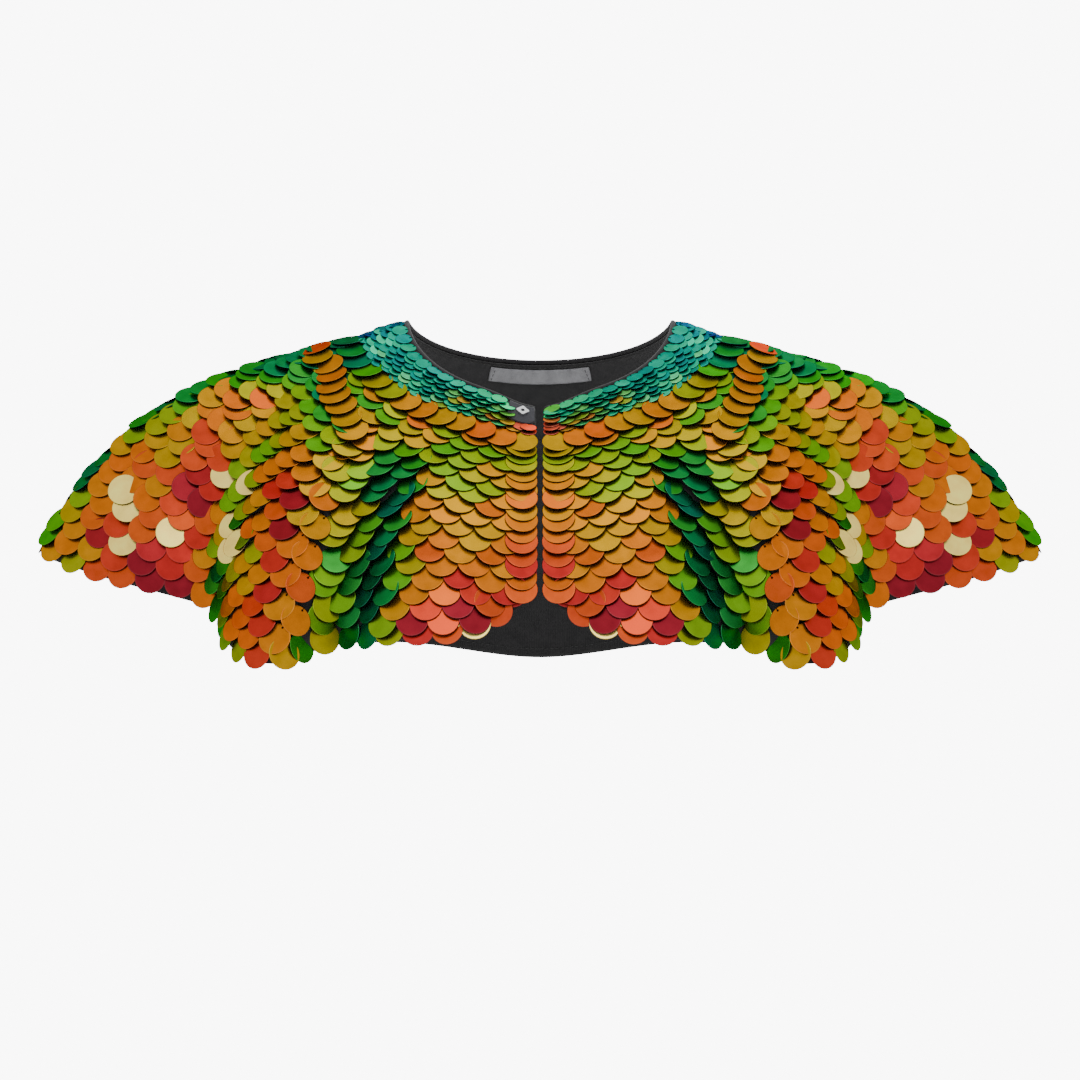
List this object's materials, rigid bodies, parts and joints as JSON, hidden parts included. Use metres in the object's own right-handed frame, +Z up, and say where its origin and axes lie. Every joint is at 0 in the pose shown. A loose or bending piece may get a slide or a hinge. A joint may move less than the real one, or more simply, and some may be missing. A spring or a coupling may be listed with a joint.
{
  "type": "sequinned evening cape",
  "caption": "Cropped open-front cape with flared shoulder wings, a round yoke and a lined back, for the shoulders of a wearer",
  "frame": {"origin": "middle of the neck opening, level with the neck points on the shoulders", "axes": "+X is the wearer's left and the cape's longest way, -Y is the front, +Z is up and the cape's shortest way"},
  "size_m": [0.6526, 0.298, 0.2244],
  "materials": {
    "small_sequins": "small glossy round sequins, teal to mint green, sewn in rows on black cloth",
    "large_sequins": "large glossy colour-shifting round sequins, red, orange, gold and green, in overlapping rows on black cloth",
    "black_cloth": "fine black plain-weave cloth, nearly matt",
    "grey_satin": "grey satin-weave label, blank",
    "nickel": "polished nickel-plated brass"
  },
  "bodies": {
    "root": {"yoke_front_left": "small_sequins", "yoke_front_right": "small_sequins", "yoke_back": "small_sequins", "front_left": "large_sequins", "front_right": "large_sequins", "wing_left": "large_sequins", "wing_right": "large_sequins", "back": "large_sequins", "neck_binding": "black_cloth", "back_lining": "black_cloth", "blank_label": "grey_satin", "closure_tab": "black_cloth", "snap_socket": "nickel", "snap_stud": "nickel"}
  },
  "joints": []
}
